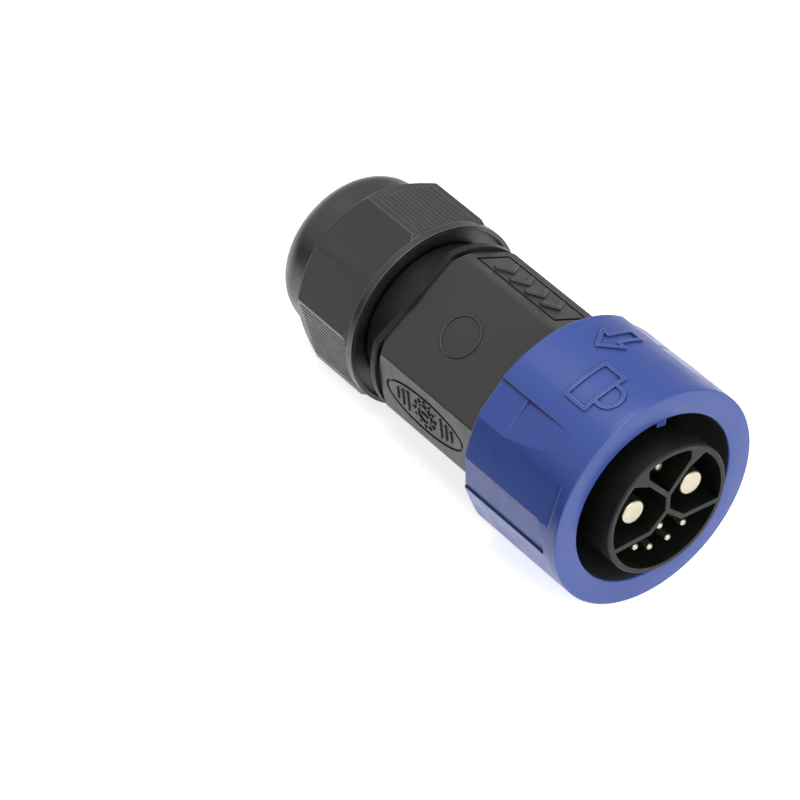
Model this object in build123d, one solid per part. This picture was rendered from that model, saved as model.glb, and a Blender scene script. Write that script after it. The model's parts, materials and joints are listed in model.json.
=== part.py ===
"""Round battery connector plug with a bayonet coupling ring and a cable gland.

Lengths are millimetres.  The axis of the plug is X, the nose points to +X, and Z is up.
The origin is on the axis, in the plane of the coupling ring's front face.
The plug is drawn with its small upper contact straight up, and is then turned about its axis
until it lies on a wide face of its gland nut, as it does on a bench.
Clocking angles are turned about +X, before that turn: 0 is up and 90 is towards -Y.
"""

from build123d import *
from math import atan2, cos, degrees, hypot, pi, radians, sin, sqrt
import os

# Fits and clearances
running_clearance = 0.05
seat_clearance = 0.05
loose_clearance = 0.30
skirt_clearance = 0.65

# Nose and contact insert
nose_radius = 14.95
nose_wall = 1.2
nose_reach = 4.7
nose_edge = 0.3
web_thickness = 1.1
chamber_depth = 13.7
chamber_floor_thickness = 5.0
carrier_length = 10.0
carrier_wall = 0.6
upper_node = (0.0, 3.7)
lower_node = (0.0, -0.2)
upper_arm_angle = 32.0
gusset_spread = 10.0
gusset_root_radius = 10.2
lower_bend = (4.15, -3.9)
lower_web_drop = 4.2

# Contacts: place of each pin across the axis, its radius and how far it stays below the rim
power_pin_offset = 7.4
power_pin_height = 1.9
power_pin_radius = 2.75
power_collar_radius = 3.5
power_tip_round = 0.45
power_recess = 1.7
power_cup_radius = 2.2
power_cup_depth = 8.0
aux_pin_height = 8.7
aux_pin_radius = 1.1
aux_collar_radius = 1.7
aux_tip_round = 0.7
aux_recess = 3.2
aux_cup_radius = 0.85
signal_pin_radius = 0.8
signal_collar_radius = 1.15
signal_tip_round = 0.5
signal_recess = 1.7
signal_cup_radius = 0.5
small_cup_depth = 4.0
solder_tail_length = 7.5
signal_places = [(0.0, -5.6), (6.2, -8.0), (-6.2, -8.0), (2.35, -9.95), (-2.35, -9.95)]

# Sizes of a contact: pin radius, collar radius, recess, tip rounding, solder cup radius and depth
power_sizes = (
    power_pin_radius,
    power_collar_radius,
    power_recess,
    power_tip_round,
    power_cup_radius,
    power_cup_depth,
)
aux_sizes = (
    aux_pin_radius,
    aux_collar_radius,
    aux_recess,
    aux_tip_round,
    aux_cup_radius,
    small_cup_depth,
)
signal_sizes = (
    signal_pin_radius,
    signal_collar_radius,
    signal_recess,
    signal_tip_round,
    signal_cup_radius,
    small_cup_depth,
)

# Every contact: name, place across the axis and sizes
contacts = [
    ("power_pin_left", (-power_pin_offset, power_pin_height), power_sizes),
    ("power_pin_right", (power_pin_offset, power_pin_height), power_sizes),
    ("aux_pin", (0.0, aux_pin_height), aux_sizes),
]
for number, place in enumerate(signal_places, start=1):
    contacts.append((f"signal_pin_{number}", place, signal_sizes))

# Coupling ring
ring_wall = 5.55
ring_length = 28.8
ring_front_edge = 1.1
ring_rear_edge = 0.5
ring_bore_edge = 0.4
ring_clocking = 1.6
ring_flange_thickness = 3.0
pad_half_angle = 37.5
facet_start_angle = 58.5
facet_end_angle = 81.0
facet_front = 2.2
side_flat_drop = 0.75
side_flat_front = 3.6
side_flat_slant = 28.0
thumb_step = 0.9
thumb_front = 7.4
thumb_back = 20.5
thumb_rest_rise = 0.3

# Raised padlock and arrow on the upper pad; places across it are measured along its surface
relief_rise = 0.4
relief_stroke = 0.8
padlock_back = -14.4
padlock_length = 5.8
padlock_width = 10.0
padlock_middle = 5.8
shackle_radius = 2.7
shackle_leg = 1.6
arrow_place = -19.8
arrow_tail = -11.5
arrow_tip = -1.5
arrow_half_width = 1.5
arrow_head_half_width = 3.5
arrow_head_length = 4.2

# Bayonet lugs, and the stop that limits the ring's turn
lug_count = 2
lug_tip_radius = 16.7
lug_width = 2.1
lug_length = 2.5
lug_setback = 1.0
lug_clocking = -6.8
lug_notch_clearance = 0.35
lug_notch_turn = -30.0
lock_turn = 45.0
stop_tooth_height = 1.0
stop_tooth_angle = 8.0
stop_clocking = 160.0
stop_margin = 0.6

# Shoulder, hub and what sits on them
socket_gap_depth = 16.5
shoulder_thickness = 2.5
shoulder_clearance = 0.5
hub_radius = 16.0
washer_width = 2.65
interface_seal_thickness = 1.6
seal_groove_depth = 0.3
spring_sheet = 0.4
spring_height = 1.5
thrust_washer_thickness = 0.5
axial_play = 0.3
clip_thickness = 1.0
clip_depth = 0.8
clip_overlap = 1.6
clip_gap_angle = 24.0
hub_land = 0.6

# Threaded stub of the hub, and the plate that holds the contacts
stub_length = 11.0
stub_wall = 1.7
retainer_ledge = 0.55
retainer_thickness = 2.5
retainer_screw_radius = 1.25
retainer_screw_length = 13.0
retainer_screw_head_radius = 2.3
retainer_screw_head_height = 1.5
retainer_screw_slot = 0.6
o_ring_section_radius = 0.55
o_ring_setback = 2.2

# Rear shell: six sides, three wide and three narrow
shell_wide_apothem = 16.0
shell_narrow_apothem = 19.3
shell_length = 38.1
shell_clocking = 36.8
shell_edge = 0.7
shell_end_cut = 1.7
wire_room_radius = 12.8
neck_flange_radius = 20.2
neck_flange_length = 1.6
neck_flange_step = 0.4
neck_radius = 16.8
neck_length = 5.6
thread_radius = 16.0
thread_length = 13.6
thread_pitch = 2.0
thread_depth = 0.9
thread_crest = 0.3
gland_bore_radius = 12.5
gland_bore_depth = 13.0
frame_groove_width = 0.7
frame_groove_depth = 0.35
frame_length = 25.5
frame_height = 9.6
frame_setback = 2.6

# Gland nut
nut_gap = 5.0
nut_length = 31.5
nut_wide_apothem = 18.1
nut_narrow_apothem = 20.1
nut_corner_radius = 22.2
nut_clocking = 46.0
nut_collar_radius = 21.4
nut_collar_length = 1.7
nut_lip_wall = 0.9
nut_lip_depth = 1.3
nut_front_chamfer = 0.8
nut_hex_length = 15.9
nut_dome_radius = 18.2
nut_dome_corner = 6.5
nut_mouth_radius = 9.5
nut_mouth_wall = 3.0
nut_mouth_edge = 0.8
nut_cone_clearance = 0.6

# Clamp cage and cable seal inside the nut
cage_flange_thickness = 1.8
cage_bore_radius = 10.5
finger_count = 12
finger_slot = 1.6
finger_root_radius = 14.2
finger_tip_radius = 12.4
slip_ring_thickness = 1.5
seal_bore_radius = 7.8
seal_plug_length = 6.0
seal_overhang = 0.8

# Places along the axis, from the nose to the cable
x_tip = nose_reach
x_floor = x_tip - chamber_depth
x_carrier_front = x_floor - chamber_floor_thickness
x_carrier_back = x_carrier_front - carrier_length
x_shoulder_front = -socket_gap_depth
x_shoulder_back = x_shoulder_front - shoulder_thickness
x_interface_face = x_shoulder_front + interface_seal_thickness
x_seal_groove_front = x_interface_face + loose_clearance
x_spring_back = x_shoulder_back - spring_height
x_flange_front = x_spring_back - thrust_washer_thickness
x_flange_back = x_flange_front - ring_flange_thickness
x_clip_front = x_flange_back - axial_play
x_clip_back = x_clip_front - clip_thickness
x_hub_back = x_clip_back - hub_land
x_stub_back = x_hub_back - stub_length
x_screw_tip = x_carrier_back + retainer_screw_length
x_retainer_back = x_carrier_back - retainer_thickness
x_hex_back = x_hub_back - shell_length
x_neck_flange_back = x_hex_back - neck_flange_length
x_neck_back = x_neck_flange_back - neck_length
x_thread_back = x_neck_back - thread_length
x_nut_front = x_neck_flange_back - nut_gap
x_nut_back = x_nut_front - nut_length
x_nut_collar_back = x_nut_front - nut_collar_length
x_nut_floor = x_nut_back + nut_mouth_wall
x_cage_front = x_thread_back - loose_clearance
x_cage_flange_back = x_cage_front - cage_flange_thickness
x_slip_back = x_nut_floor + loose_clearance
x_slip_front = x_slip_back + slip_ring_thickness
x_finger_tip = x_slip_front + loose_clearance
x_seal_front = x_thread_back + seal_plug_length

# Turn about the axis that brings a wide face of the nut to the ground
resting_turn = 60.0 - nut_clocking

# Radii that follow from the sizes above
washer_bore_radius = hub_radius + loose_clearance
shoulder_radius = washer_bore_radius + washer_width
ring_bore_radius = shoulder_radius + shoulder_clearance
ring_radius = ring_bore_radius + ring_wall
flange_bore_radius = hub_radius + running_clearance
carrier_radius = max(hypot(*spot) + sizes[1] for _, spot, sizes in contacts) + carrier_wall
hub_bore_radius = carrier_radius + seat_clearance
stub_bore_radius = hub_bore_radius + retainer_ledge
stub_radius = stub_bore_radius + stub_wall
stub_seat_radius = stub_radius + seat_clearance
nut_bore_radius = thread_radius + loose_clearance
shell_corner_radius = sqrt(
    shell_wide_apothem**2
    + ((shell_narrow_apothem - shell_wide_apothem * cos(pi / 3)) / sin(pi / 3)) ** 2
)
skirt_bore_radius = shell_corner_radius + skirt_clearance
cut_margin = 2.0


def turned(*points):
    """Solid of revolution about X from (x, radius) points of a closed half section."""
    return revolve(make_face(Polyline(*points, close=True)), Axis.X)


def tube(x_front, x_back, outer, inner):
    """Plain ring between two planes."""
    return turned((x_front, inner), (x_front, outer), (x_back, outer), (x_back, inner))


def drum(x_front, x_back, radius):
    """Plain cylinder between two planes."""
    return turned((x_front, 0), (x_front, radius), (x_back, radius), (x_back, 0))


def across(x):
    """Plane square to the axis at x: its own x is Y and its own y is Z."""
    return Plane.YZ.offset(x)


def clocked(solid, angle):
    """Turn a solid about the plug's axis."""
    return Rot(angle, 0, 0) * solid


def six_sided(wide, narrow, x_front, x_back, clocking):
    """Prism with equal corners and two widths of face in turn; a wide face is at the clocking."""
    corners = []
    for face in range(6):
        here, after = (wide, narrow) if face % 2 == 0 else (narrow, wide)
        along = (after - here * cos(pi / 3)) / sin(pi / 3)
        turn = radians(60 * face)
        corners.append(
            (-here * sin(turn) - along * cos(turn), here * cos(turn) - along * sin(turn))
        )
    outline = across(x_back) * make_face(Polyline(*corners, close=True))
    return clocked(extrude(outline, x_front - x_back), clocking)


def bar(start, end, width):
    """Straight bar with round ends between two places of a flat drawing."""
    run = Vector(*end) - Vector(*start)
    middle = (Vector(*start) + Vector(*end)) * 0.5
    turn = degrees(atan2(run.Y, run.X))
    return Pos(middle.X, middle.Y) * Rot(0, 0, turn) * SlotCenterToCenter(run.length, width)


def web(start, end):
    """One straight wall between two places of the nose's cross-section."""
    return bar(start, end, web_thickness)


def polar(radius, angle):
    """Place across the axis: angle from up, towards -Y."""
    return (-radius * sin(radians(angle)), radius * cos(radians(angle)))


def chamber_walls():
    """The walls that part the nose into four chambers, with their gussets at the rim."""
    reach = nose_radius - nose_wall / 2
    walls = web(upper_node, lower_node)
    for side in (-1, 1):
        arm_end = polar(reach, side * upper_arm_angle)
        walls += web(upper_node, arm_end)
        walls += make_face(
            Polyline(
                polar(gusset_root_radius, side * upper_arm_angle),
                polar(reach, side * (upper_arm_angle - gusset_spread)),
                polar(reach, side * (upper_arm_angle + gusset_spread)),
                close=True,
            )
        )
        bend = (side * lower_bend[0], lower_bend[1])
        wall_end = (side * sqrt(reach**2 - lower_web_drop**2), -lower_web_drop)
        walls += web(lower_node, bend)
        walls += web(bend, wall_end)
    return walls


def contact(place, radius, collar, recess, tip_round, cup_radius, cup_depth):
    """Turned contact: pin, collar held between the chamber floor and the plate, solder cup."""
    x_front = x_tip - recess
    x_back = x_retainer_back - solder_tail_length
    section = make_face(
        Polyline(
            (x_front, 0),
            (x_front, radius),
            (x_carrier_front, radius),
            (x_carrier_front, collar),
            (x_carrier_back, collar),
            (x_carrier_back, radius),
            (x_back, radius),
            (x_back, 0),
            close=True,
        )
    )
    tip = section.vertices().sort_by_distance((x_front, radius, 0))[:1]
    pin = revolve(fillet(tip, tip_round), Axis.X)
    cup = drum(x_back + cup_depth, x_back - cut_margin, cup_radius)
    return Pos(0, place[0], place[1]) * (pin - cup)


def contact_holes(solid, grown):
    """Bores one round hole for every contact, a seat clearance wider than its radius there."""
    for _, place, (radius, collar, *_) in contacts:
        bore = (collar if grown else radius) + seat_clearance
        solid -= Pos(0, place[0], place[1]) * drum(x_tip, x_retainer_back - cut_margin, bore)
    return solid


def contact_insert():
    """Nose cup: four chambers in front, a floor for the contacts, a pocket for the carrier."""
    body = turned(
        (x_tip, 0),
        (x_tip, nose_radius - nose_edge),
        (x_tip - nose_edge, nose_radius),
        (x_seal_groove_front, nose_radius),
        (x_seal_groove_front, nose_radius - seal_groove_depth),
        (x_shoulder_front, nose_radius - seal_groove_depth),
        (x_shoulder_front, nose_radius),
        (x_shoulder_back, nose_radius),
        (x_shoulder_back, hub_bore_radius),
        (x_carrier_front, hub_bore_radius),
        (x_carrier_front, 0),
    )
    room = Circle(nose_radius - nose_wall) - chamber_walls()
    body -= extrude(across(x_floor) * room, chamber_depth + cut_margin)
    body -= drum(x_screw_tip, x_carrier_front - cut_margin, retainer_screw_radius)
    return contact_holes(body, grown=False)


def contact_carrier():
    """Block behind the floor, with a wider hole round the collar of every contact."""
    block = drum(x_carrier_front, x_carrier_back, carrier_radius)
    block -= drum(x_tip, x_retainer_back, retainer_screw_radius + seat_clearance)
    return contact_holes(block, grown=True)


def coupling_hub():
    """Hub that the ring turns on: shoulder, clip groove, stop slot and threaded stub."""
    hub = turned(
        (x_shoulder_front, nose_radius + seat_clearance),
        (x_shoulder_front, shoulder_radius),
        (x_shoulder_back, shoulder_radius),
        (x_shoulder_back, hub_radius),
        (x_clip_front, hub_radius),
        (x_clip_front, hub_radius - clip_depth),
        (x_clip_back, hub_radius - clip_depth),
        (x_clip_back, hub_radius),
        (x_hub_back, hub_radius),
        (x_hub_back, stub_radius),
        (x_stub_back, stub_radius),
        (x_stub_back, stub_bore_radius),
        (x_carrier_back, stub_bore_radius),
        (x_carrier_back, hub_bore_radius),
        (x_shoulder_back, hub_bore_radius),
        (x_shoulder_back, nose_radius + seat_clearance),
    )
    x_groove = x_hub_back - o_ring_setback
    half_groove = o_ring_section_radius + seat_clearance
    hub -= tube(
        x_groove + half_groove,
        x_groove - half_groove,
        stub_radius + cut_margin,
        stub_radius - 2 * o_ring_section_radius,
    )
    for number in range(lug_count):
        notch = Pos(
            (x_shoulder_front + x_shoulder_back) / 2, 0, (lug_tip_radius + ring_radius) / 2
        ) * Box(
            shoulder_thickness + cut_margin / 2,
            lug_width + 2 * lug_notch_clearance,
            ring_radius - lug_tip_radius + 2 * lug_notch_clearance,
        )
        hub -= clocked(notch, lug_clocking + lug_notch_turn + number * 360 / lug_count)
    return hub - sector(
        x_flange_front + axial_play,
        x_hub_back - cut_margin,
        hub_radius + cut_margin,
        hub_radius - stop_tooth_height - loose_clearance,
        stop_clocking - stop_tooth_angle / 2 - stop_margin,
        stop_clocking + lock_turn + stop_tooth_angle / 2 + stop_margin,
    )


def sector(x_front, x_back, outer, inner, start, end):
    """Part of a ring between two clocking angles, less than half a turn."""
    far = 3 * outer
    middle = (start + end) / 2
    wedge = make_face(
        Polyline((0, 0), polar(far, start), polar(far * 1.5, middle), polar(far, end), close=True)
    )
    prism = extrude(across(x_back) * wedge, x_front - x_back)
    return prism & tube(x_front, x_back, outer, inner)


def planar_cut(angle, distance, width, x_front, slant=0.0):
    """Block that cuts a flat facing a clocking angle back from x_front; its front end slopes."""
    depth = ring_radius
    x_back = -ring_length - cut_margin
    side = Polyline(
        (x_front, distance),
        (x_front + depth / 2, distance + depth),
        (x_back, distance + depth),
        (x_back, distance),
        close=True,
    )
    block = extrude(Plane.XZ * make_face(side), width / 2, both=True)
    if slant:
        behind = Box(4 * depth, 4 * depth, 4 * depth, align=(Align.MAX, Align.CENTER, Align.CENTER))
        block &= Pos(x_front, 0, distance) * Rot(0, 0, slant) * behind
    return clocked(block, angle)


def four_ways(solid):
    """A feature of one quarter of the ring, with its mirror images in the other three."""
    half = solid + mirror(solid, Plane.XZ)
    return half + mirror(half, Plane.XY)


def thumb_recess():
    """Tilted flat beside a pad: deepest at its rear corner, where the step is."""
    front = Vector(-thumb_front, *polar(ring_radius, pad_half_angle))
    deep = Vector(-thumb_back, *polar(ring_radius - thumb_step, pad_half_angle))
    far = Vector(-thumb_back, *polar(ring_radius, facet_start_angle))
    normal = (deep - front).cross(far - front)
    if normal.dot(front) < 0:
        normal = normal * -1
    tilted = Plane(origin=deep, x_dir=deep - front, z_dir=normal)
    above = tilted * Box(
        4 * ring_radius,
        4 * ring_radius,
        ring_radius,
        align=(Align.CENTER, Align.CENTER, Align.MIN),
    )
    zone = sector(
        0, -thumb_back, 2 * ring_radius, ring_bore_radius, pad_half_angle, facet_start_angle + 2
    )
    return above & zone


def thumb_rest():
    """Flat behind a thumb recess, along the axis: its front end is a low step in the recess."""
    far = 2 * ring_radius
    outline = make_face(
        Polyline(
            polar(ring_radius - thumb_step + thumb_rest_rise, pad_half_angle),
            polar(far, pad_half_angle),
            polar(far, facet_start_angle),
            polar(ring_radius, facet_start_angle),
            close=True,
        )
    )
    behind = ring_length + cut_margin
    return extrude(across(-behind) * outline, behind - thumb_back)


def closed_stroke(points):
    """Line of the relief's width round a closed shape."""
    line = Sketch()
    for start, end in zip(points, points[1:] + points[:1]):
        line += bar(start, end, relief_stroke)
    return line


def pad_relief():
    """Padlock with an arrow towards it, raised on the upper pad: the way the ring turns to lock."""
    front = padlock_back + padlock_length
    left = -padlock_middle - padlock_width / 2
    right = -padlock_middle + padlock_width / 2
    drawing = closed_stroke(
        [(padlock_back, left), (front, left), (front, right), (padlock_back, right)]
    )
    for side in (-1, 1):
        foot = side * shackle_radius - padlock_middle
        drawing += bar((front, foot), (front + shackle_leg, foot), relief_stroke)
    half_stroke = relief_stroke / 2
    bow = Circle(shackle_radius + half_stroke) - Circle(shackle_radius - half_stroke)
    reach = 2 * shackle_radius
    bow &= Rectangle(reach, 2 * reach, align=(Align.MIN, Align.CENTER))
    drawing += Pos(front + shackle_leg, -padlock_middle) * bow
    neck = arrow_head_length - arrow_tip
    drawing += closed_stroke(
        [
            (arrow_place - arrow_half_width, -arrow_tail),
            (arrow_place - arrow_half_width, neck),
            (arrow_place - arrow_head_half_width, neck),
            (arrow_place, -arrow_tip),
            (arrow_place + arrow_head_half_width, neck),
            (arrow_place + arrow_half_width, neck),
            (arrow_place + arrow_half_width, -arrow_tail),
        ]
    )
    skin = tube(0, -ring_length, ring_radius + relief_rise, ring_radius - relief_rise)
    return extrude(drawing, 2 * ring_radius) & skin


def coupling_ring():
    """Bayonet ring: finger pads, thumb recesses, flats, lugs, flange, stop tooth and skirt."""
    section = Polyline(
        (0, ring_bore_radius),
        (0, ring_radius),
        (-ring_length, ring_radius),
        (-ring_length, skirt_bore_radius),
        (x_flange_back, skirt_bore_radius),
        (x_flange_back, flange_bore_radius),
        (x_flange_front, flange_bore_radius),
        (x_flange_front, ring_bore_radius),
        close=True,
    )
    profile = make_face(section)
    edges = [
        ((0, ring_radius), ring_front_edge),
        ((-ring_length, ring_radius), ring_rear_edge),
        ((0, ring_bore_radius), ring_bore_edge),
    ]
    for corner, radius in edges:
        profile = fillet(profile.vertices().sort_by_distance((*corner, 0))[:1], radius)
    ring = revolve(profile, Axis.X)

    half_facet = (facet_end_angle - facet_start_angle) / 2
    facet = planar_cut(
        facet_start_angle + half_facet,
        ring_radius * cos(radians(half_facet)),
        ring_radius,
        -facet_front,
    )
    grips = ring - four_ways(facet) - four_ways(thumb_recess() + thumb_rest())
    side_width = 2 * ring_radius * cos(radians(facet_end_angle))
    side_flat = planar_cut(
        90, ring_radius - side_flat_drop, side_width, -side_flat_front, side_flat_slant
    )
    grips -= side_flat + mirror(side_flat, Plane.XZ)
    grips = clocked(grips + pad_relief(), ring_clocking)

    x_lug = -lug_setback - lug_length
    block = Pos((x_lug - lug_setback) / 2, 0, ring_bore_radius) * Box(
        lug_length, lug_width, 2 * (ring_bore_radius - lug_tip_radius)
    )
    lug = block & tube(-lug_setback, x_lug, ring_bore_radius + ring_bore_edge, lug_tip_radius)
    for number in range(lug_count):
        grips += clocked(lug, lug_clocking + number * 360 / lug_count)
    tooth = sector(
        x_flange_front,
        x_flange_back,
        flange_bore_radius + ring_bore_edge,
        hub_radius - stop_tooth_height,
        stop_clocking - stop_tooth_angle / 2,
        stop_clocking + stop_tooth_angle / 2,
    )
    return grips + tooth


def interface_seal():
    """Flat ring seal with a raised bead, at the root of the nose against the shoulder."""
    inner = nose_radius - seal_groove_depth + seat_clearance
    bead = (shoulder_radius - inner) / 4
    middle = (inner + shoulder_radius) / 2
    return turned(
        (x_shoulder_front, inner),
        (x_interface_face - bead, inner),
        (x_interface_face - bead, middle - bead),
        (x_interface_face, middle - bead / 2),
        (x_interface_face, middle + bead / 2),
        (x_interface_face - bead, middle + bead),
        (x_interface_face - bead, shoulder_radius),
        (x_shoulder_front, shoulder_radius),
    )


def curved_spring_washer():
    """Bent ring of spring steel between the shoulder and the thrust washer."""
    rise = spring_height - spring_sheet
    bend = (shoulder_radius**2 + rise**2) / (2 * rise)
    centre = Pos(x_shoulder_back - bend, 0, 0) * Rot(90, 0, 0)
    width = 3 * shoulder_radius
    sheet = centre * Cylinder(bend, width) - centre * Cylinder(bend - spring_sheet, width)
    return sheet & tube(
        x_shoulder_back, x_spring_back - spring_sheet, shoulder_radius, washer_bore_radius
    )


def thrust_washer():
    """Plain slip washer between the spring and the ring's flange."""
    return tube(x_spring_back, x_flange_front, shoulder_radius, washer_bore_radius)


def retaining_clip():
    """Open spring clip in the hub's groove, behind the ring's flange."""
    inner = hub_radius - clip_depth + seat_clearance
    ring = tube(x_clip_front, x_clip_back, hub_radius + clip_overlap, inner)
    gap = sector(
        x_clip_front, x_clip_back, ring_radius, inner / 2, -clip_gap_angle / 2, clip_gap_angle / 2
    )
    return ring - gap


def contact_retainer():
    """Plate behind the carrier, on a ledge of the hub, held by one screw."""
    plate = drum(x_carrier_back, x_retainer_back, stub_bore_radius - seat_clearance)
    plate -= drum(x_tip, x_retainer_back - cut_margin, retainer_screw_radius + seat_clearance)
    return contact_holes(plate, grown=False)


def retainer_screw():
    """Slotted cheese-head screw through the plate and the carrier into the chamber floor."""
    x_head_back = x_retainer_back - retainer_screw_head_height
    x_end = x_screw_tip - loose_clearance
    shank = drum(x_end, x_retainer_back, retainer_screw_radius - seat_clearance)
    head = drum(x_retainer_back, x_head_back, retainer_screw_head_radius)
    slot = Pos(x_head_back, 0, 0) * Box(
        retainer_screw_head_height, 3 * retainer_screw_head_radius, retainer_screw_slot
    )
    return shank + head - slot


def shell_o_ring():
    """Cord ring in the groove of the hub's stub, against the shell's bore."""
    centre = stub_radius - o_ring_section_radius
    cord = Pos(x_hub_back - o_ring_setback, centre) * Circle(o_ring_section_radius)
    return revolve(cord, Axis.X)


def frame_groove(outer, inner):
    """Shallow groove between two outlines on the face of a narrow side."""
    x_middle = x_hex_back + frame_setback + frame_length / 2
    cutter = extrude(outer - inner, 2 * frame_groove_depth)
    return Pos(x_middle, 0, shell_narrow_apothem - frame_groove_depth) * cutter


def thread_groove(x_middle):
    """V groove round the neck: a row of them stands for the thread, without its lead."""
    half_width = (thread_pitch - thread_crest) / 2
    return turned(
        (x_middle + half_width, thread_radius),
        (x_middle, thread_radius - thread_depth),
        (x_middle - half_width, thread_radius),
        (x_middle - half_width, thread_radius + cut_margin),
        (x_middle + half_width, thread_radius + cut_margin),
    )


def rear_shell():
    """Six-sided housing, bored for the hub, with the neck and thread for the gland nut."""
    hexagon = six_sided(
        shell_wide_apothem, shell_narrow_apothem, x_hub_back, x_hex_back, shell_clocking
    )
    long_edges = hexagon.edges().filter_by(Axis.X)
    hexagon = fillet(long_edges, shell_edge)
    hexagon &= turned(
        (x_hub_back, 0),
        (x_hub_back, shell_corner_radius),
        (x_hex_back + shell_end_cut, shell_corner_radius),
        (x_hex_back, shell_corner_radius - shell_end_cut),
        (x_hex_back, 0),
    )
    flange = drum(x_hex_back, x_neck_flange_back, neck_flange_radius)
    flange &= six_sided(
        shell_wide_apothem + neck_flange_step,
        neck_flange_radius + cut_margin,
        x_hex_back,
        x_neck_flange_back,
        shell_clocking,
    )
    shell = hexagon + flange + turned(
        (x_hex_back, 0),
        (x_hex_back, neck_radius),
        (x_neck_back, neck_radius),
        (x_neck_back, thread_radius),
        (x_thread_back, thread_radius),
        (x_thread_back, 0),
    )
    x_room_front = x_stub_back - loose_clearance
    x_room_back = x_thread_back + gland_bore_depth
    shell -= turned(
        (x_hub_back + cut_margin, 0),
        (x_hub_back + cut_margin, stub_seat_radius),
        (x_room_front, stub_seat_radius),
        (x_room_front, wire_room_radius),
        (x_room_back, wire_room_radius),
        (x_room_back, gland_bore_radius),
        (x_thread_back - cut_margin, gland_bore_radius),
        (x_thread_back - cut_margin, 0),
    )
    for number in range(int(thread_length / thread_pitch)):
        shell -= thread_groove(x_thread_back + (number + 0.5) * thread_pitch)
    inner_length = frame_length - 2 * frame_groove_width
    inner_height = frame_height - 2 * frame_groove_width
    panel = frame_groove(
        Rectangle(frame_length, frame_height), Rectangle(inner_length, inner_height)
    )
    oval = frame_groove(
        Ellipse(frame_length / 2, frame_height / 2), Ellipse(inner_length / 2, inner_height / 2)
    )
    shell -= clocked(panel, shell_clocking - 60)
    return shell - clocked(oval, shell_clocking + 60)


def gland_nut():
    """Domed nut: three smooth and three narrower faces, a round collar and a cable mouth."""
    x_hex_front = x_nut_collar_back
    x_chamfer = x_hex_front - nut_hex_length
    x_hex_back = x_chamfer - (nut_corner_radius - nut_dome_radius)
    envelope = turned(
        (x_hex_front, 0),
        (x_hex_front, nut_collar_radius),
        (x_hex_front - nut_front_chamfer, nut_corner_radius),
        (x_chamfer, nut_corner_radius),
        (x_hex_back, nut_dome_radius),
        (x_hex_back, 0),
    )
    prism = six_sided(nut_wide_apothem, nut_narrow_apothem, x_hex_front, x_hex_back, nut_clocking)
    collar = drum(x_nut_front, x_nut_collar_back, nut_collar_radius)
    dome_section = make_face(
        Polyline(
            (x_hex_front, 0),
            (x_hex_front, nut_dome_radius),
            (x_nut_back, nut_dome_radius),
            (x_nut_back, 0),
            close=True,
        )
    )
    corner = dome_section.vertices().sort_by_distance((x_nut_back, nut_dome_radius, 0))[:1]
    dome = revolve(fillet(corner, nut_dome_corner), Axis.X)
    body = (envelope & prism) + collar + dome
    x_cone = x_cage_flange_back - nut_cone_clearance
    cavity = turned(
        (x_nut_front + cut_margin, 0),
        (x_nut_front + cut_margin, nut_collar_radius - nut_lip_wall),
        (x_nut_front - nut_lip_depth, nut_collar_radius - nut_lip_wall),
        (x_nut_front - nut_lip_depth, nut_bore_radius),
        (x_cone, nut_bore_radius),
        (x_cone, finger_root_radius + nut_cone_clearance),
        (x_nut_floor, finger_tip_radius + nut_cone_clearance),
        (x_nut_floor, nut_mouth_radius),
        (x_nut_back - cut_margin, nut_mouth_radius),
        (x_nut_back - cut_margin, 0),
    )
    nut = body - cavity
    mouth = nut.edges().filter_by(GeomType.CIRCLE).sort_by(Axis.X)
    mouth = [edge for edge in mouth if abs(edge.radius - nut_mouth_radius) < 0.01][:1]
    return fillet(mouth, nut_mouth_edge)


def clamp_cage():
    """Flanged ring with fingers that close on the seal when the nut is run up."""
    cage = turned(
        (x_cage_front, cage_bore_radius),
        (x_cage_front, nut_bore_radius - loose_clearance),
        (x_cage_flange_back, nut_bore_radius - loose_clearance),
        (x_cage_flange_back, finger_root_radius),
        (x_finger_tip, finger_tip_radius),
        (x_finger_tip, cage_bore_radius),
    )
    length = x_cage_flange_back - x_finger_tip
    slot = Pos(x_finger_tip, 0, finger_root_radius) * Box(
        2 * length - finger_slot, finger_slot, 2 * (finger_root_radius - cage_bore_radius) + 1
    )
    for number in range(finger_count):
        cage -= clocked(slot, number * 360 / finger_count)
    return cage


def cable_seal():
    """Rubber sleeve: a plug in the shell's bore and a sleeve inside the fingers."""
    sleeve = cage_bore_radius - loose_clearance
    plug = gland_bore_radius - loose_clearance
    return turned(
        (x_seal_front, seal_bore_radius),
        (x_seal_front, plug),
        (x_cage_front, plug),
        (x_cage_front, sleeve),
        (x_finger_tip + seal_overhang, sleeve),
        (x_finger_tip + seal_overhang, seal_bore_radius),
    )


def slip_ring():
    """Loose ring that lets the nut turn on the finger tips without twisting them."""
    return tube(x_slip_front, x_slip_back, finger_tip_radius, cage_bore_radius)


os.makedirs("parts", exist_ok=True)

nodes = {
    "contact_insert": contact_insert(),
    "contact_carrier": contact_carrier(),
    "coupling_hub": coupling_hub(),
    "coupling_ring": coupling_ring(),
    "interface_seal": interface_seal(),
    "spring_washer": curved_spring_washer(),
    "thrust_washer": thrust_washer(),
    "retaining_clip": retaining_clip(),
    "contact_retainer": contact_retainer(),
    "retainer_screw": retainer_screw(),
    "shell_o_ring": shell_o_ring(),
    "rear_shell": rear_shell(),
    "gland_nut": gland_nut(),
    "clamp_cage": clamp_cage(),
    "cable_seal": cable_seal(),
    "slip_ring": slip_ring(),
}
for name, place, sizes in contacts:
    nodes[name] = contact(place, *sizes)

for name, solid in nodes.items():
    export_step(clocked(solid, resting_turn), f"parts/{name}.step")
    print(f"{name}: {solid.volume:.1f} mm3")
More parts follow.
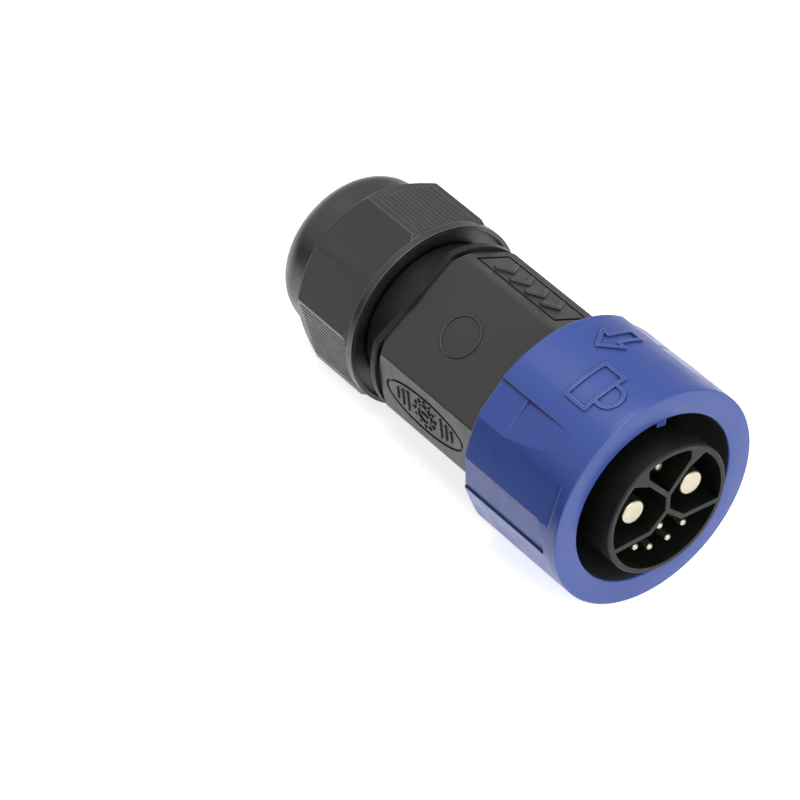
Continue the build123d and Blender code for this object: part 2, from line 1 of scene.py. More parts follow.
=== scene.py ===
# %% [markdown]
# # A round battery connector plug
#
# The plug's solids are made in CAD, at their real size, and come in here as a fixed frame: the nose with its
# pins, the blue coupling ring, the six-sided shell and the domed cable gland. Blender's work is their looks.
# Most of the plug is moulded nylon, so most of this lesson is about how a moulded surface catches light.
# The frame is loaded first, because every later step asks it where things are.

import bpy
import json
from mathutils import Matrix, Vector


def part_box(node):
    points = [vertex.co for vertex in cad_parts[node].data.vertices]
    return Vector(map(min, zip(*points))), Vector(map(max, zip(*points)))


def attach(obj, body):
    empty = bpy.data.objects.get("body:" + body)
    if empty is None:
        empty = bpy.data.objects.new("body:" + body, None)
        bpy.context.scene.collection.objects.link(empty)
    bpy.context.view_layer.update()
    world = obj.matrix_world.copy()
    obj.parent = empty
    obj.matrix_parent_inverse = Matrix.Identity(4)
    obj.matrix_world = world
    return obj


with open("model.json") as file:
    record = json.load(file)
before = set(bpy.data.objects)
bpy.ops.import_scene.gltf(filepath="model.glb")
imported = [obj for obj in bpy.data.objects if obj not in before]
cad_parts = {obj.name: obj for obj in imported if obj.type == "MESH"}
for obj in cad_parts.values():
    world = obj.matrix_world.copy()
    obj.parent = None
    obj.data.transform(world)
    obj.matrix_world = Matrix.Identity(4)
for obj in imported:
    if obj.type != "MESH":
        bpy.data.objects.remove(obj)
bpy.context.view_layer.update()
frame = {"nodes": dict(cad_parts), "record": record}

# %% [markdown]
# ## Units and colours
#
# Blender counts in metres and a plug is drawn in millimetres, so one number turns one into the other.
# A colour is easiest to note down as the hex value that a screen shows. Blender's shaders add up light, and
# need the linear value, so one function turns the first into the second.

# %% Units and colours
import json
from math import atan, cos, hypot, pi, radians, sin

import bmesh
import bpy
import numpy as np
from mathutils import Matrix, Vector

MM = 0.001


def colour(hex_value):
    """Linear colour with alpha for an sRGB hex value such as "3A56A8"."""
    screen = [int(hex_value[i : i + 2], 16) / 255 for i in (0, 2, 4)]
    linear = [s / 12.92 if s <= 0.04045 else ((s + 0.055) / 1.055) ** 2.4 for s in screen]
    return (*linear, 1.0)


print("mid grey as light:", round(colour("808080")[0], 3))

# %% [markdown]
# ## One helper for shader nodes
#
# A material is a small graph: textures feed a shader, which feeds the output. Each node needs a kind, some
# settings and some links, so one function takes all three. A socket's value may be a number, a colour or
# another node's output, and the helper tells them apart.

# %% Node helper


def add(tree, kind, sockets=None, **settings):
    """Adds one node; sockets maps an input's name or index to a value or to another node's output."""
    node = tree.nodes.new(kind)
    for setting, value in settings.items():
        setattr(node, setting, value)
    for socket, value in (sockets or {}).items():
        if isinstance(value, bpy.types.NodeSocket):
            tree.links.new(value, node.inputs[socket])
        else:
            node.inputs[socket].default_value = value
    return node


def new_material(name):
    """Empty node material with its coordinates in millimetres; returns it, its tree and them."""
    material = bpy.data.materials.new(name)
    material.use_nodes = True
    tree = material.node_tree
    tree.nodes.clear()
    place = add(tree, "ShaderNodeTexCoord").outputs["Object"]
    in_mm = add(tree, "ShaderNodeVectorMath", {0: place, "Scale": 1 / MM}, operation="SCALE")
    return material, tree, in_mm.outputs[0]


def finish_material(tree, shader):
    """Joins the shader to the material's output."""
    add(tree, "ShaderNodeOutputMaterial", {"Surface": shader.outputs[0]})


print("helpers ready")

# %% [markdown]
# ## Moulded nylon
#
# The ring, the nose, the shell and the nut are glass-filled nylon, injection moulded in a steel tool. Three
# things tell the eye so. The tool was spark eroded, which leaves a fine grain that breaks up reflections. The
# melt flowed in from a gate, which leaves very faint long clouds in the colour. And no edge is sharp: the
# tool's corners have a radius of two or three tenths of a millimetre, which draws a thin light line along
# every edge. A paler tone is painted along every edge as well: partly rubbed wear, partly painted highlight.
#
# The grain could be modelled, but it is far too fine. A bump texture costs nothing and moves with the piece.
# The edge radius could be cut into every solid with a bevel modifier, but the solids are fixed here. The
# Bevel node gives the same soft line: it reads the surface a short way round each point and returns the
# normal that a rounded edge would have. Comparing that normal with the real one also finds the edges, for
# the paler edge tone. The opposite of an edge is a corner or a groove, where shade falls. The Ambient
# Occlusion node finds those, and a dark tone goes there as painted shade. Most of what the eye gets from
# black plastic is the reflection on it, so a corner looks dark only if its shine goes as well, and the
# painted shade takes that away too.
#
# Some surfaces lie deep in shade, such as the ring's bore and the neck under the nut. That shade is painted:
# they get a dark, dull tone with little shine. A nylon may have one such zone, behind a given place along the
# plug and between two distances from its axis.

# %% Moulded nylon recipe
NYLON_IOR = 1.53  # dry nylon
FLOW_LENGTH = 26.0  # mm, length of the faint clouds in the colour, along the plug
FLOW_WIDTH = 9.0  # mm, across it
HANDLING = 4.0  # mm, size of the patches where a satin surface is a little shinier
# Painted shade in corners and grooves: its reach, its share, and the shine it leaves.
RECESS_REACH = 1.4  # mm, how far from a wall its corner is still dark
RECESS_SHADE = 0.85  # share of the dark tone in a deep corner
DULL_SHARE = 0.2  # share of the shine that is left in a corner or a sheltered zone
# Painted shade over a whole zone: how softly it begins, and its share of the colour.
ZONE_EDGE = 0.3  # mm, how softly a sheltered zone begins
ZONE_SHARE = 0.95  # share of a sheltered zone's own tone in its colour
OFF_EDGE, ON_EDGE = 0.997, 0.93  # how well the rounded normal agrees with the real one, off and on an edge
OPEN_FACE, DEEP_CORNER = 0.97, 0.50  # openness of a plain face and of a deep corner
SHINIER, DULLER = 0.04, 0.05  # how far handling changes the roughness, down and up
NOISE_LOW, NOISE_HIGH = 0.3, 0.7  # nearly all of a noise texture's values lie between these


def smooth_step(tree, value, start, end, low=0.0, high=1.0):
    """Value that goes smoothly from low to high as another goes from start to end."""
    sockets = {"Value": value, 1: start, 2: end, 3: low, 4: high}
    return add(tree, "ShaderNodeMapRange", sockets, interpolation_type="SMOOTHSTEP").outputs[0]


def product(tree, first, second):
    """Product of two values."""
    return add(tree, "ShaderNodeMath", {0: first, 1: second}, operation="MULTIPLY").outputs[0]


def blend(tree, share, first, second):
    """Colour between two others."""
    sockets = {0: share, 6: first, 7: second}
    return add(tree, "ShaderNodeMix", sockets, data_type="RGBA").outputs[2]


def shade_zone_mask(tree, mm, shade_zone):
    """Painted shade mask: 1 behind a place along the plug and between two distances from its axis, 0
    elsewhere.
    """
    x_front, inner, outer = shade_zone
    axes = add(tree, "ShaderNodeSeparateXYZ", {0: mm})
    across = add(tree, "ShaderNodeCombineXYZ", {1: axes.outputs[1], 2: axes.outputs[2]})
    radius = add(tree, "ShaderNodeVectorMath", {0: across.outputs[0]}, operation="LENGTH")
    behind = smooth_step(tree, axes.outputs[0], x_front, x_front - ZONE_EDGE)
    within = smooth_step(tree, radius.outputs["Value"], outer, outer - ZONE_EDGE / 3)
    beyond = smooth_step(tree, radius.outputs["Value"], inner, inner + ZONE_EDGE / 3)
    return product(tree, behind, product(tree, within, beyond))


def moulded_nylon(
    name, tones, wear_and_highlight_tone, corner_shade_tone, roughness, grain, grain_depth, edge, wear_and_highlight_share, gloss=0.5, shade_zone=None
):
    """Satin moulded plastic: flow tones, worn edges with painted highlight, painted corner shade, spark
    grain, rounded edges.
    """
    material, tree, mm = new_material(name)
    along_flow = add(
        tree,
        "ShaderNodeMapping",
        {"Vector": mm, "Scale": (1 / FLOW_LENGTH, 1 / FLOW_WIDTH, 1 / FLOW_WIDTH)},
    )
    flow = add(
        tree,
        "ShaderNodeTexNoise",
        {"Vector": along_flow.outputs[0], "Scale": 1.0, "Detail": 4.0, "Distortion": 0.4},
    )
    tone = blend(tree, flow.outputs["Fac"], colour(tones[0]), colour(tones[1]))

    rounded = add(tree, "ShaderNodeBevel", {"Radius": edge * MM}, samples=6)
    surface = add(tree, "ShaderNodeNewGeometry")
    agreement = add(
        tree,
        "ShaderNodeVectorMath",
        {0: rounded.outputs[0], 1: surface.outputs["Normal"]},
        operation="DOT_PRODUCT",
    )
    # Painted highlight and some rubbed wear: a paler tone along edges, where the rounded normal leaves the
    # real one.
    edges = smooth_step(tree, agreement.outputs["Value"], OFF_EDGE, ON_EDGE, 0.0, wear_and_highlight_share)
    tone = blend(tree, edges, tone, colour(wear_and_highlight_tone))

    # Painted shade: a darker tone in corners and grooves, found by ambient occlusion.
    openness = add(tree, "ShaderNodeAmbientOcclusion", {"Distance": RECESS_REACH * MM}, samples=8)
    painted_corner_shade = smooth_step(tree, openness.outputs["AO"], OPEN_FACE, DEEP_CORNER, 0.0, RECESS_SHADE)
    tone = blend(tree, painted_corner_shade, tone, colour(corner_shade_tone))
    dull = painted_corner_shade
    # Painted shade over a whole zone: a dull dark tone, such as in the ring's bore.
    if shade_zone:
        zone_shade = product(tree, shade_zone_mask(tree, mm, shade_zone[:3]), ZONE_SHARE)
        tone = blend(tree, zone_shade, tone, colour(shade_zone[3]))
        dull = add(tree, "ShaderNodeMath", {0: painted_corner_shade, 1: zone_shade}, operation="MAXIMUM").outputs[0]
    # Less shine in a corner or a zone: painted shade as well.
    level = add(tree, "ShaderNodeMapRange", {"Value": dull, 3: gloss, 4: gloss * DULL_SHARE})

    patches = add(tree, "ShaderNodeTexNoise", {"Vector": mm, "Scale": 1 / HANDLING, "Detail": 3.0})
    shine = smooth_step(
        tree, patches.outputs["Fac"], NOISE_LOW, NOISE_HIGH, roughness - SHINIER, roughness + DULLER
    )
    sparks = add(
        tree,
        "ShaderNodeTexNoise",
        {"Vector": mm, "Scale": 1 / grain, "Detail": 2.0, "Roughness": 0.6},
    )
    bump = add(
        tree,
        "ShaderNodeBump",
        {
            "Strength": 1.0,
            "Distance": grain_depth * MM,
            "Height": sparks.outputs["Fac"],
            "Normal": rounded.outputs[0],
        },
    )
    shader = add(
        tree,
        "ShaderNodeBsdfPrincipled",
        {
            "Base Color": tone,
            "Roughness": shine,
            "Normal": bump.outputs[0],
            "IOR": NYLON_IOR,
            "Specular IOR Level": level.outputs[0],
        },
    )
    finish_material(tree, shader)
    return material


print("recipe for moulded nylon ready")

# %% [markdown]
# ## The plug's own nylons
#
# The coupling ring is dyed ultramarine, and its dye lifts towards violet where light skims it. The others
# are black, but not the same black: the nut is faintly warm, the shell faintly green and more heavily
# grained, and the insert is the darkest and smoothest, because it has to release from a deep, narrow tool.
# The real grain is about 0.1 mm across. That is finer than a pixel here, so it is drawn three times as
# coarse, and shallow.

# %% Nylon materials
# Front, inner and outer limit in mm and tone of the two zones of painted shade
RING_BORE_SHADE = (0.2, 19.3, 19.6, "464744")
SHELL_NECK_SHADE = (-63.6, 8.0, 20.8, "2A2B29")  # rear flange, neck and thread

# In each nylon below, the edge tone is partly rubbed wear and partly painted highlight, and the corner tone
# is painted shade.
ring_nylon = moulded_nylon(
    "ultramarine moulded nylon",
    tones=("2C499C", "3450A3"),
    wear_and_highlight_tone="9CA8E4",
    corner_shade_tone="18265E",
    roughness=0.35,
    grain=0.30,
    grain_depth=0.008,
    edge=0.30,
    wear_and_highlight_share=0.6,
    shade_zone=RING_BORE_SHADE,
)
shell_nylon = moulded_nylon(
    "spark-grained black nylon",
    tones=("20221F", "262825"),
    wear_and_highlight_tone="787A77",
    corner_shade_tone="0E0F0D",
    roughness=0.42,
    grain=0.35,
    grain_depth=0.016,
    edge=0.30,
    wear_and_highlight_share=0.35,
    shade_zone=SHELL_NECK_SHADE,
)
nut_nylon = moulded_nylon(
    "satin black nylon",
    tones=("242024", "2A262C"),
    wear_and_highlight_tone="8C8890",
    corner_shade_tone="100F11",
    roughness=0.36,
    grain=0.30,
    grain_depth=0.010,
    edge=0.30,
    wear_and_highlight_share=0.6,
    gloss=0.55,
)
insert_nylon = moulded_nylon(
    "smooth black nylon",
    tones=("0B0E0A", "11150F"),
    wear_and_highlight_tone="30362E",
    corner_shade_tone="050605",
    roughness=0.50,
    grain=0.30,
    grain_depth=0.008,
    edge=0.20,
    wear_and_highlight_share=0.25,
    gloss=0.28,
)
cage_nylon = moulded_nylon(
    "plain black nylon",
    tones=("1E1E1E", "252525"),
    wear_and_highlight_tone="4A4A4A",
    corner_shade_tone="0A0A0A",
    roughness=0.45,
    grain=0.30,
    grain_depth=0.008,
    edge=0.20,
    wear_and_highlight_share=0.35,
)
print("nylons:", [m.name for m in bpy.data.materials if "nylon" in m.name])

# %% [markdown]
# ## Silver-plated contacts
#
# Each contact is turned from copper alloy bar on a lathe and plated with silver. The lathe leaves rings:
# round the pin along its length, and round its centre on the flat tip. One formula draws both. The distance
# from the pin's axis is constant along its side and the place along the plug is constant on its tip, so a
# wave on the sum of the two gives rings everywhere. The axis of each pin is read from the frame, and the
# smallest of the eight distances is the one that counts.
# The real feed marks are some 0.05 mm apart; they are drawn at 0.3 mm, which is just about visible.

# %% Silver-plated contacts
TURNING_PITCH = 0.30  # mm between the lathe's feed marks, as drawn
TURNING_DEPTH = 0.004  # mm
TIP_EDGE = 0.12  # mm, how round the edge of a flat tip is
STAIN_SCALE = 0.8  # clouds of tarnish for each mm
SILVER_SMOOTH, SILVER_DULL = 0.34, 0.42  # roughness

pins = sorted(name for name in frame["nodes"] if "_pin" in name)
plating, tree, mm = new_material("turned silver plate")
along = add(tree, "ShaderNodeSeparateXYZ", {0: mm})
distance = None
for pin in pins:
    low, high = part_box(pin)
    centre = (low + high) / 2 / MM
    flat = add(tree, "ShaderNodeCombineXYZ", {1: along.outputs[1], 2: along.outputs[2]})
    here = add(
        tree,
        "ShaderNodeVectorMath",
        {0: flat.outputs[0], 1: (0.0, centre.y, centre.z)},
        operation="DISTANCE",
    ).outputs["Value"]
    if distance is None:
        distance = here
    else:
        distance = add(tree, "ShaderNodeMath", {0: distance, 1: here}, operation="MINIMUM").outputs[0]
run = add(tree, "ShaderNodeMath", {0: distance, 1: along.outputs[0]}, operation="ADD")
phase = product(tree, run.outputs[0], 2 * pi / TURNING_PITCH)
rings = add(tree, "ShaderNodeMath", {0: phase}, operation="SINE")
rounded = add(tree, "ShaderNodeBevel", {"Radius": TIP_EDGE * MM}, samples=6)
bump = add(
    tree,
    "ShaderNodeBump",
    {
        "Strength": 1.0,
        "Distance": TURNING_DEPTH * MM,
        "Height": rings.outputs[0],
        "Normal": rounded.outputs[0],
    },
)
stains = add(tree, "ShaderNodeTexNoise", {"Vector": mm, "Scale": STAIN_SCALE, "Detail": 3.0})
silver = blend(tree, stains.outputs["Fac"], colour("BDB9A5"), colour("B6B19B"))
satin = add(
    tree,
    "ShaderNodeMapRange",
    {"Value": stains.outputs["Fac"], 1: NOISE_LOW, 2: NOISE_HIGH, 3: SILVER_SMOOTH, 4: SILVER_DULL},
)
finish_material(
    tree,
    add(
        tree,
        "ShaderNodeBsdfPrincipled",
        {
            "Base Color": silver,
            "Metallic": 1.0,
            "Roughness": satin.outputs[0],
            "Normal": bump.outputs[0],
        },
    ),
)
print("contacts:", len(pins))

# %% [markdown]
# ## Rubber and spring steel
#
# The seal at the root of the nose is red-brown silicone, and the cable's seal is black nitrile rubber. Both
# are soft and slightly dusty, so they have a rough surface, and a little sheen stands for the dust. The
# springs, the washer and the clip are stainless strip: metal, with a fine grain in the direction of rolling.

# %% Rubber
DUST_SCALE = 0.6  # clouds of dust for each mm
SKIN_SCALE, SKIN_DEPTH = 2.5, 0.012  # bumps for each mm, and their height in mm
RUBBER_IOR = 1.45


def moulded_rubber(name, tones, roughness):
    """Matt moulded rubber with a cloudy tone and a little dust."""
    material, tree, mm = new_material(name)
    dust = add(tree, "ShaderNodeTexNoise", {"Vector": mm, "Scale": DUST_SCALE, "Detail": 5.0})
    tone = blend(tree, dust.outputs["Fac"], colour(tones[0]), colour(tones[1]))
    skin = add(tree, "ShaderNodeTexNoise", {"Vector": mm, "Scale": SKIN_SCALE, "Detail": 3.0})
    bump = add(
        tree,
        "ShaderNodeBump",
        {"Strength": 1.0, "Distance": SKIN_DEPTH * MM, "Height": skin.outputs["Fac"]},
    )
    shader = add(
        tree,
        "ShaderNodeBsdfPrincipled",
        {
            "Base Color": tone,
            "Roughness": roughness,
            "IOR": RUBBER_IOR,
            "Sheen Weight": 0.15,
            "Sheen Roughness": 0.5,
            "Normal": bump.outputs[0],
        },
    )
    finish_material(tree, shader)
    return material


silicone = moulded_rubber("red-brown silicone", ("5E1C18", "74261F"), 0.5)
nitrile = moulded_rubber("black nitrile rubber", ("141414", "1E1D1D"), 0.6)
print("rubbers:", silicone.name, "and", nitrile.name)

# %% Rolled stainless strip
ROLLING = (6.0, 0.4, 6.0)  # grain lines for each mm: long across the plug, fine the other two ways
ROLLING_DEPTH = 0.003  # mm
STEEL_SMOOTH, STEEL_DULL = 0.26, 0.38  # roughness

steel, tree, mm = new_material("rolled stainless strip")
rolled = add(tree, "ShaderNodeMapping", {"Vector": mm, "Scale": ROLLING})
grain = add(tree, "ShaderNodeTexNoise", {"Vector": rolled.outputs[0], "Scale": 1.0, "Detail": 4.0})
dull = add(
    tree,
    "ShaderNodeMapRange",
    {"Value": grain.outputs["Fac"], 1: NOISE_LOW, 2: NOISE_HIGH, 3: STEEL_SMOOTH, 4: STEEL_DULL},
)
bump = add(
    tree,
    "ShaderNodeBump",
    {"Strength": 1.0, "Distance": ROLLING_DEPTH * MM, "Height": grain.outputs["Fac"]},
)
finish_material(
    tree,
    add(
        tree,
        "ShaderNodeBsdfPrincipled",
        {
            "Base Color": colour("C4C5C6"),
            "Metallic": 1.0,
            "Roughness": dull.outputs[0],
            "Normal": bump.outputs[0],
        },
    ),
)
print("metal:", steel.name)

# %% [markdown]
# ## Every node gets its material
#
# The record that comes with the frame says which finish each node takes. A table from finish to material is
# safer than a list of nodes: a node that is forgotten would show up as a missing key.

# %% Put the materials on the nodes
finishes = {
    "ring_nylon": ring_nylon,
    "insert_nylon": insert_nylon,
    "shell_nylon": shell_nylon,
    "nut_nylon": nut_nylon,
    "cage_nylon": cage_nylon,
    "seal_rubber": nitrile,
    "seal_silicone": silicone,
    "spring_steel": steel,
    "contact_plating": plating,
}
for part in frame["record"]["subparts"]:
    mesh = frame["nodes"][part["node"]].data
    mesh.materials.clear()
    mesh.materials.append(finishes[part["material_slot"]])

# %% [markdown]
# ## A helper for raised lines
#
# Ribs and moulded marks are all the same thing: a line of some width that stands a little proud of a face,
# with sloping sides so that it leaves the tool. It could be a curve object with a bevel profile, but a curve
# lies flat in its own plane and its ends are awkward to close. Here each line is a small closed mesh: six
# points across it, repeated at each corner, where they are mitred. A placing function puts a flat drawing
# on the face that carries it, so one helper serves all faces. Its foot is sunk into the face, so that no gap
# shows.

# %% Raised lines
# Points across a line, as shares of its width and of its height
SECTION = [(-0.5, -0.4), (-0.42, 0.5), (-0.24, 1.0), (0.24, 1.0), (0.42, 0.5), (0.5, -0.4)]
SHARPEST = 0.4  # limits how far a mitre reaches at a sharp corner


def on_face(angle, apothem):
    """Places a flat drawing on the face at that clocking angle: along the plug, across it, height."""
    turn = radians(angle)
    out = Vector((0.0, -sin(turn), cos(turn)))
    across = Vector((0.0, -cos(turn), -sin(turn)))

    def place(x, v, h):
        return (Vector((x, 0.0, 0.0)) + across * v + out * (apothem + h)) * MM

    return place


def mitres(points, closed):
    """Across-direction at each point of a line, longer at a corner, so that its width stays the same."""
    count = len(points)
    found = []
    for i, point in enumerate(points):
        before = points[(i - 1) % count] if closed or i > 0 else None
        after = points[(i + 1) % count] if closed or i < count - 1 else None
        runs = []
        if before is not None:
            runs.append((point - before).normalized())
        if after is not None:
            runs.append((after - point).normalized())
        mean = sum(runs, Vector((0.0, 0.0))).normalized()
        found.append(Vector((-mean.y, mean.x)) / max(SHARPEST, mean.dot(runs[0])))
    return found


def join_rows(bm, rows, closed):
    """Faces between neighbouring rows of points; closed joins the last row to the first."""
    following_rows = rows[1:] + rows[:1] if closed else rows[1:]
    for row, following in zip(rows, following_rows):
        for i in range(len(row)):
            j = (i + 1) % len(row)
            bm.faces.new((row[i], row[j], following[j], following[i]))


def new_piece(name, bm, body, material):
    """Turns a finished bmesh into a piece with its material, which rides on a body."""
    bmesh.ops.recalc_face_normals(bm, faces=bm.faces)
    mesh = bpy.data.meshes.new(name)
    bm.to_mesh(mesh)
    bm.free()
    piece = bpy.data.objects.new(name, mesh)
    bpy.context.scene.collection.objects.link(piece)
    mesh.materials.append(material)
    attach(piece, body)
    return piece


def raised_lines(name, lines, width, height, place, body, material):
    """One mesh of closed ridges along flat lines; a line is (points, closed)."""
    bm = bmesh.new()
    for points, closed in lines:
        flat = [Vector(p) for p in points]
        rows = []
        for point, side in zip(flat, mitres(flat, closed)):
            row = []
            for offset, rise in SECTION:
                x, v = point + side * (offset * width)
                row.append(bm.verts.new(place(x, v, rise * height)))
            rows.append(row)
        join_rows(bm, rows, closed)
        if not closed:
            bm.faces.new(rows[0])
            bm.faces.new(rows[-1])
    return new_piece(name, bm, body, material)


print("points across a raised line:", len(SECTION))

# %% [markdown]
# ## Grip ribs on the nut
#
# The nut has six faces in two widths. The three wide ones are smooth, for a spanner, and the three narrow
# ones are finely ribbed along the plug, for wet fingers. The ribs stop short of the collar and of the slope
# behind, where the real ones run out too. They are laid out from the middle of the face, so that a row is
# always even on both sides.

# %% Grip ribs
NUT_WIDE, NUT_NARROW = 18.1, 20.1  # mm from the axis to the two kinds of face
NARROW_FACES = (0.0, 120.0, 240.0)  # degrees, clocking of the ribbed faces
RIB_PITCH = 1.22
RIB_WIDTH = 0.95
RIB_HEIGHT = 0.15
RIB_FRONT, RIB_BACK = -72.5, -88.0  # mm along the plug

half_face = (NUT_WIDE - NUT_NARROW * cos(pi / 3)) / sin(pi / 3)
rib_count = 2 * int((half_face - RIB_WIDTH) / RIB_PITCH) + 1
ribs = []
for number in range(rib_count):
    v = (number - (rib_count - 1) / 2) * RIB_PITCH
    ribs.append(([(RIB_FRONT, v), (RIB_BACK, v)], False))
for number, angle in enumerate(NARROW_FACES, start=1):
    raised_lines(
        f"nut_ribs_{number}",
        ribs,
        RIB_WIDTH,
        RIB_HEIGHT,
        on_face(angle, NUT_NARROW),
        "gland",
        nut_nylon,
    )
print("ribs on each narrow face:", rib_count)

# %% [markdown]
# ## Moulded marks on the shell
#
# Two of the shell's narrow faces carry a sunk frame, and such frames hold moulded marks. Here they are plain
# ones: four chevrons that point to the nose, and a small dial with twelve ticks between short bars, as
# moulders use to show the month. A plain round line on the wide face between them is the edge of a tool
# insert. Raised marks are the common kind, because they are cut into the tool and not left standing on it.

# %% Moulded marks
SHELL_WIDE, SHELL_NARROW = 16.0, 19.3  # mm from the axis to the two kinds of face
FRAME_ANGLE, OVAL_ANGLE, WIDE_ANGLE = -9.2, 110.8, 50.8  # degrees
MARK_PLACE = -48.65  # mm along the plug, the middle of the frames


def round_line(radius, centre, steps=48):
    """Closed circle as a flat line."""
    turns = [2 * pi * i / steps for i in range(steps)]
    return ([(centre + radius * cos(t), radius * sin(t)) for t in turns], True)


def shell_mark(name, lines, width, height, place):
    """Raised lines on one of the shell's faces."""
    raised_lines(name, lines, width, height, place, "plug", shell_nylon)


CHEVRON_COUNT, CHEVRON_STEP = 4, 4.9  # how many, and mm from one to the next
CHEVRON_LENGTH, CHEVRON_REACH = 2.2, 3.1  # mm along the plug, and half height across it
CHEVRON_WIDTH, CHEVRON_HEIGHT = 1.2, 0.60  # mm, of its line
chevrons = []
for number in range(CHEVRON_COUNT):
    tip = MARK_PLACE + CHEVRON_LENGTH / 2 + (number - (CHEVRON_COUNT - 1) / 2) * CHEVRON_STEP
    back = tip - CHEVRON_LENGTH
    chevrons.append(([(back, -CHEVRON_REACH), (tip, 0.0), (back, CHEVRON_REACH)], False))
frame_face = on_face(FRAME_ANGLE, SHELL_NARROW)
shell_mark("shell_chevrons", chevrons, CHEVRON_WIDTH, CHEVRON_HEIGHT, frame_face)

DIAL_RADIUS, TICK_START, TICK_END = 2.1, 2.8, 3.7  # mm
HAND_BACK, HAND_FRONT = 1.1, 1.2  # mm, how far the dial's hand reaches both ways
DIAL_WIDTH, DIAL_HEIGHT = 0.55, 0.35  # mm, of its lines
BARS = ((5.4, 2.6), (7.1, 2.1), (8.8, 1.5))  # mm, place of each bar beside the dial and its half length
dial = [round_line(DIAL_RADIUS, MARK_PLACE)]
for month in range(12):
    turn = 2 * pi * month / 12
    ends = [(MARK_PLACE + r * cos(turn), r * sin(turn)) for r in (TICK_START, TICK_END)]
    dial.append((ends, False))
dial.append(([(MARK_PLACE - HAND_BACK, 0.0), (MARK_PLACE + HAND_FRONT, 0.0)], False))
for place, reach in BARS:
    for side in (-1, 1):
        x = MARK_PLACE + side * place
        dial.append(([(x, -reach), (x, reach)], False))
shell_mark("shell_dial", dial, DIAL_WIDTH, DIAL_HEIGHT, on_face(OVAL_ANGLE, SHELL_NARROW))

INSERT_RADIUS, INSERT_SETBACK = 4.6, 1.0  # mm
INSERT_WIDTH, INSERT_HEIGHT = 0.60, 0.22  # mm, of its line
insert_line = round_line(INSERT_RADIUS, MARK_PLACE - INSERT_SETBACK, steps=72)
wide_face = on_face(WIDE_ANGLE, SHELL_WIDE)
shell_mark("shell_insert_line", [insert_line], INSERT_WIDTH, INSERT_HEIGHT, wide_face)
print("marks on the shell: chevrons, dial and insert line")

# %% [markdown]
# ## Gate mark on the nose
#
# Nylon enters the nose's tool through a small gate at the rim. When the part is broken off its runner, a
# short stub is left. It is a raised line too, a little over a millimetre long.

# %% Gate mark
NOSE_RADIUS = 14.95
GATE_BACK, GATE_FRONT = 3.1, 4.35  # mm along the plug
GATE_WIDTH, GATE_HEIGHT = 1.1, 0.28  # mm
GATE_ANGLE = 175.0  # degrees
raised_lines(
    "nose_gate_mark",
    [([(GATE_BACK, 0.0), (GATE_FRONT, 0.0)], False)],
    GATE_WIDTH,
    GATE_HEIGHT,
    on_face(GATE_ANGLE, NOSE_RADIUS),
    "plug",
    insert_nylon,
)
print("gate mark on the nose")

# %% [markdown]
# ## The ring's front rim
#
# The ring's solid has a generous radius at its front, and the real one comes to a crisp rim there. A band
# over the front face, turned round the plug's axis, fills that radius, brings the face forward by half a
# millimetre and gives the rim its own small radius. Its underside is sunk in the ring, out of sight.

# %% Front rim of the ring
RIM_FRONT, RIM_BACK = 0.45, -1.25  # mm along the plug
RIM_OUTER, RIM_INNER = 24.985, 19.48  # mm, radii
RIM_OUTER_EDGE, RIM_INNER_EDGE = 0.30, 0.35  # mm, how round its two edges are
SUNK_X, SUNK_INNER, SUNK_OUTER = -0.6, 20.3, 24.0  # mm, place and radii of the hidden underside
BORE_END = -0.8  # mm along the plug, how far the band lines the bore
RIM_STEPS, EDGE_STEPS = 360, 5
SHARP_ANGLE = 35.0  # degrees, from which an edge stays sharp


def rim_edge(turns, radius, edge, side):
    """Quarter circle at the band's front; side is 1 at its outer edge and -1 at its inner one."""
    return [(RIM_FRONT + edge * (cos(t) - 1), radius + edge * (sin(t) - side)) for t in turns]


steps = range(EDGE_STEPS + 1)
section = [(RIM_BACK, SUNK_OUTER), (RIM_BACK, RIM_OUTER)]
section += rim_edge([pi / 2 * (1 - s / EDGE_STEPS) for s in steps], RIM_OUTER, RIM_OUTER_EDGE, 1)
section += rim_edge([-pi / 2 * s / EDGE_STEPS for s in steps], RIM_INNER, RIM_INNER_EDGE, -1)
section += [(BORE_END, RIM_INNER), (SUNK_X, SUNK_INNER), (SUNK_X, SUNK_OUTER)]

bm = bmesh.new()
rows = []
for step in range(RIM_STEPS):
    turn = 2 * pi * step / RIM_STEPS
    rows.append([bm.verts.new(Vector((x, r * cos(turn), r * sin(turn))) * MM) for x, r in section])
join_rows(bm, rows, closed=True)
rim = new_piece("ring_front_rim", bm, "coupling", ring_nylon)
rim.data.shade_smooth()
rim.data.set_sharp_from_angle(angle=radians(SHARP_ANGLE))
print("points across the rim:", len(section))

# %% [markdown]
# ## The ground that the plug lies on
#
# A thing that stands on nothing looks pasted in. The plug lies on the rear edge of its ring and on the nut,
# so the ground slopes a few degrees in the plug's own frame. The slope is found, not guessed: of all the
# lines below the plug, it takes the one that is highest under the middle of its weight, which is the line
# that touches at two places. It is laid for the plug at rest, and doesn't follow the nut when it unscrews.
# The ground itself is matt and white. A little added light that only the camera and reflections see lifts it
# to the photograph's pure white, and the plug's shadow stays.
# What the plug sees need not be white everywhere. In the photograph the ring's left facets are the deepest
# blue of all, although the ground lies before them, so something on the left, towards -Y, was probably
# darker. So the ground that lights the plug, and that it mirrors, darkens on that side. The camera sees the
# same white all over.

# %% Ground
WEIGHT_PLACE = -0.048  # metres along the plug, the middle of its weight
GROUND_SIZE = 4.0
CAMERA_LIFT, MIRROR_LIFT = 0.75, 1.0  # light added for the camera and for reflections
LEFT_START, LEFT_END = -0.036, -0.064  # metres across, where the ground on the left darkens
PAPER_TONE, LEFT_TONE = "F7F7F7", "5A5A5A"
STEEPEST, SLOPE_COUNT = 0.25, 1001  # slopes that are tried, as rise for each length

